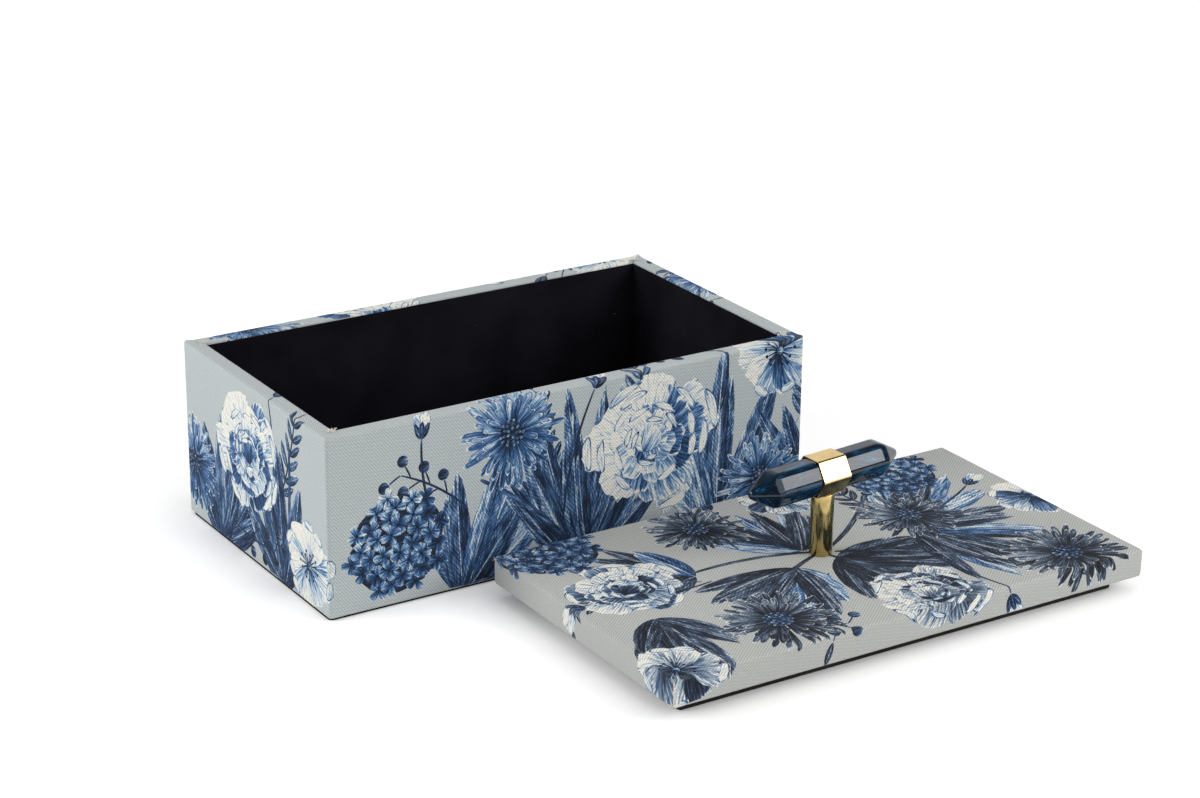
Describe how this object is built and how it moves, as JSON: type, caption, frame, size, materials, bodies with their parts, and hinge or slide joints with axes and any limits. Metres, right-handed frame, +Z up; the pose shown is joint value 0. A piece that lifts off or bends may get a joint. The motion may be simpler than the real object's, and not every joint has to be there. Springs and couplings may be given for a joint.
{
  "type": "storage box",
  "caption": "Rectangular cloth-covered storage box with a dark velvet lining and a lift-off lid that carries a T-shaped handle, a faceted blue bar in a brass collar on a brass post.",
  "frame": {"origin": "centre of the box's underside, on the surface that the box stands on", "axes": "+Z up; +X along the long side, to the right seen from the front; -Y towards the front, where the lid lies on the same surface"},
  "size_m": [0.3366, 0.3117, 0.089],
  "materials": {
    "printed_twill": "cotton twill, pale grey-blue ground with a blue and white botanical print, matt",
    "fibreboard": "raw medium density fibreboard, cut edges",
    "black_velvet": "short-pile black velvet on card",
    "black_felt": "pressed black felt sheet",
    "polished_brass": "polished, lacquered",
    "marbled_resin": "cast resin with blue and dark streaks, ground into facets and polished",
    "zinc_steel": "zinc plated"
  },
  "bodies": {
    "box": {"front_board": "fibreboard", "back_board": "fibreboard", "left_board": "fibreboard", "right_board": "fibreboard", "base_board": "fibreboard", "body_cloth": "printed_twill", "lining_front": "black_velvet", "lining_back": "black_velvet", "lining_left": "black_velvet", "lining_right": "black_velvet", "lining_floor": "black_velvet", "base_felt": "black_felt"},
    "lid": {"lid_board": "fibreboard", "lid_cloth": "printed_twill", "plug_board": "fibreboard", "plug_velvet": "black_velvet", "handle_post": "polished_brass", "handle_collar": "polished_brass", "handle_bar": "marbled_resin", "handle_screw": "zinc_steel", "screw_washer": "zinc_steel"}
  },
  "joints": [
    {"name": "lid_lift", "type": "slide", "parent": "box", "child": "lid", "axis": [0, 0, 1], "range_m": [0, 0.11]}
  ]
}
